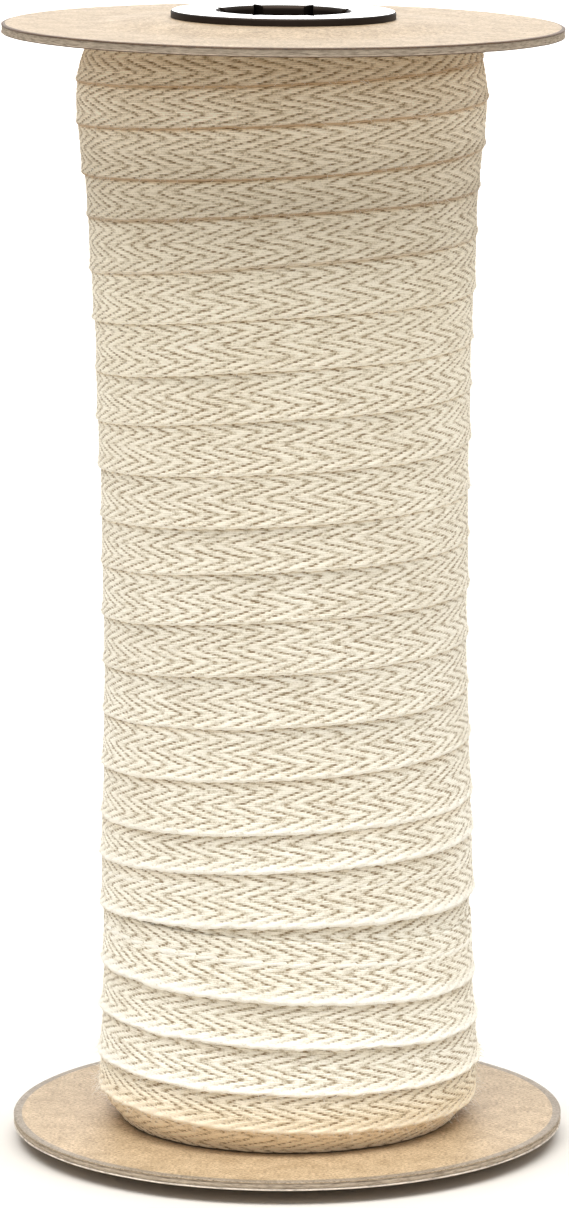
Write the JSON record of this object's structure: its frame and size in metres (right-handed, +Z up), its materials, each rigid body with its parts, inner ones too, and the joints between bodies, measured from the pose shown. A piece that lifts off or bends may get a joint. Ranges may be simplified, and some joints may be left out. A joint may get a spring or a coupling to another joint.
{
  "type": "roll of twill tape",
  "caption": "Roll of natural cotton twill tape, wound on a paper core between two round chipboard flanges with pressed metal ferrules round the spindle hole.",
  "frame": {"origin": "centre of the reel's axis on the surface it stands on, under the lower ferrule", "axes": "+Z up along the spindle hole, towards the upper flange; -Y towards the front that the picture shows; +X to its right"},
  "size_m": [0.127, 0.127, 0.2606],
  "materials": {
    "wound_tape": "matte herringbone weave",
    "core_tube": "matte",
    "lower_flange": "matte kraft paper facing",
    "upper_flange": "matte kraft paper facing",
    "lower_ferrule": "bright",
    "upper_ferrule": "bright"
  },
  "bodies": {
    "root": {"wound_tape": "wound_tape", "core_tube": "core_tube", "lower_flange": "lower_flange", "upper_flange": "upper_flange", "lower_ferrule": "lower_ferrule", "upper_ferrule": "upper_ferrule"}
  },
  "joints": []
}
